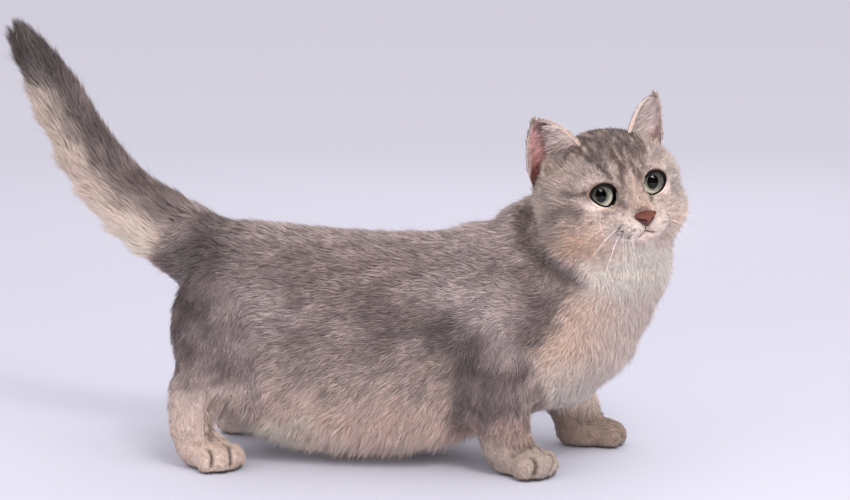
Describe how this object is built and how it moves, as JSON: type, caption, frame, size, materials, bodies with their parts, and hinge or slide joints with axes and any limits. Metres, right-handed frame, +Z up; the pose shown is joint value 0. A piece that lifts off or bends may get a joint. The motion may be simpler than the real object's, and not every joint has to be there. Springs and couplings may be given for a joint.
{
  "type": "munchkin cat",
  "caption": "Life-size still model of a short-legged cat standing with its tail raised and its head turned to its right.",
  "frame": {"origin": "on the floor, below the middle of the whole cat's box", "axes": "+X from the tail towards the chest, +Y to the cat's left, +Z up; the head is turned towards -Y"},
  "size_m": [0.521, 0.1666, 0.3249],
  "materials": {
    "coat": "soft dense fur, ticked grey-brown",
    "pale_coat": "short soft cream fur",
    "ear_skin": "thin skin with fine down",
    "eye": "wet, glossy",
    "nose_leather": "moist, finely pebbled"
  },
  "bodies": {
    "root": {"head": "coat", "neck": "coat", "torso": "coat", "tail_root": "coat", "tail_middle": "coat", "tail_upper": "coat", "tail_tip": "coat", "foreleg_right": "coat", "foreleg_left": "coat", "forepaw_right": "pale_coat", "forepaw_left": "pale_coat", "hindleg_right": "coat", "hindleg_left": "coat", "hindpaw_right": "pale_coat", "hindpaw_left": "pale_coat", "ear_right": "ear_skin", "ear_left": "ear_skin", "nose": "nose_leather", "eye_right": "eye", "eye_left": "eye"}
  },
  "joints": []
}
